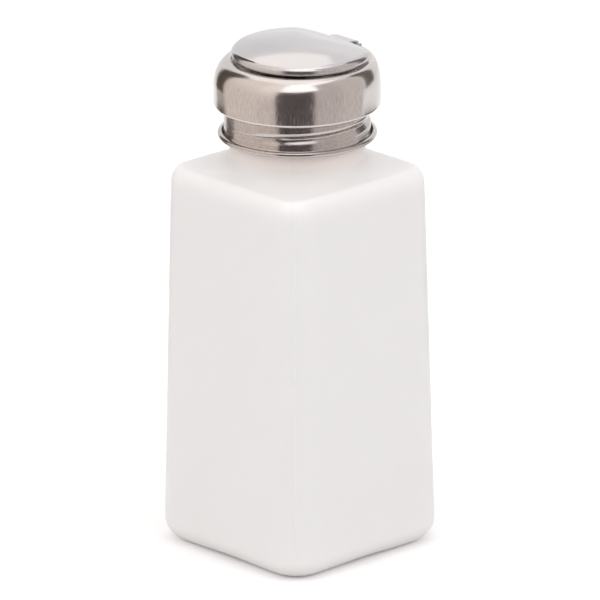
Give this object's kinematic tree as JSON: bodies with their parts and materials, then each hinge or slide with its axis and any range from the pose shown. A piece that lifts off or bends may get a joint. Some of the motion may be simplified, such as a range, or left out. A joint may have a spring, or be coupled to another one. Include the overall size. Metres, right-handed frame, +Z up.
{
  "type": "pump dispenser bottle",
  "caption": "Tapered square plastic bottle with a steel screw collar and a press-down pump head; a hinged lid covers the dish that the liquid is pumped into.",
  "frame": {"origin": "centre of the bottle's base, on the surface that it stands on", "axes": "+Z up along the bottle's and the pump's axis; the faces of the bottle are square to X and Y; the lid's hinge is at +Y and the lid opens towards -Y"},
  "size_m": [0.0566, 0.0566, 0.1413],
  "materials": {
    "natural_polyethylene": "natural high-density polyethylene, blow-moulded, soft satin",
    "satin_stainless_steel": "pressed stainless steel, satin brushed round its axis",
    "white_polypropylene": "moulded, satin",
    "tube_polyethylene": "extruded, milky",
    "seal_rubber": "black fluoro rubber",
    "spring_steel": "drawn stainless wire and ground balls, bright"
  },
  "bodies": {
    "bottle": {"bottle": "natural_polyethylene"},
    "core": {"neck_gasket": "seal_rubber", "pump_housing": "white_polypropylene", "stem_guide": "white_polypropylene", "guide_seal": "seal_rubber", "foot_valve": "white_polypropylene", "ball_retainer": "spring_steel", "dip_tube": "tube_polyethylene", "return_spring": "spring_steel"},
    "collar": {"screw_collar": "satin_stainless_steel"},
    "inlet_ball": {"inlet_ball": "spring_steel"},
    "plunger": {"piston": "white_polypropylene", "piston_ring": "seal_rubber"},
    "head": {"stem": "satin_stainless_steel", "dish_hub": "white_polypropylene", "dish": "satin_stainless_steel", "nozzle": "white_polypropylene", "head_shell": "satin_stainless_steel", "hinge_bracket": "satin_stainless_steel", "hinge_pin": "spring_steel", "rivet_left": "satin_stainless_steel", "rivet_right": "satin_stainless_steel"},
    "outlet_ball": {"outlet_ball": "spring_steel"},
    "lid": {"lid": "satin_stainless_steel"}
  },
  "joints": [
    {"name": "core_rise", "type": "slide", "parent": "bottle", "child": "core", "axis": [0, 0, 1], "range_m": [0, 0.0032]},
    {"name": "collar_turn", "type": "hinge", "parent": "core", "child": "collar", "pos_m": [0, 0, 0.1161], "axis": [0, 0, 1], "range_deg": [0, 270]},
    {"name": "inlet_ball_lift", "type": "slide", "parent": "core", "child": "inlet_ball", "axis": [0, 0, 1], "range_m": [0, 0.0007]},
    {"name": "head_press", "type": "slide", "parent": "core", "child": "plunger", "axis": [0, 0, -1], "range_m": [0, 0.005], "stiffness_N_per_m": 1200, "springref_m": -0.004, "deforming": ["return_spring"]},
    {"name": "head_turn", "type": "hinge", "parent": "plunger", "child": "head", "pos_m": [0, 0, 0.1248], "axis": [0, 0, 1], "continuous": true},
    {"name": "outlet_ball_lift", "type": "slide", "parent": "head", "child": "outlet_ball", "axis": [0, 0, 1], "range_m": [0, 0.0007]},
    {"name": "lid_hinge", "type": "hinge", "parent": "head", "child": "lid", "pos_m": [0, 0.0181, 0.13745], "axis": [-1, 0, 0], "range_deg": [0, 105]}
  ],
  "couplings": [
    {"joint": "core_rise", "follows": "collar_turn", "m_per_rad": 0.00067323}
  ]
}
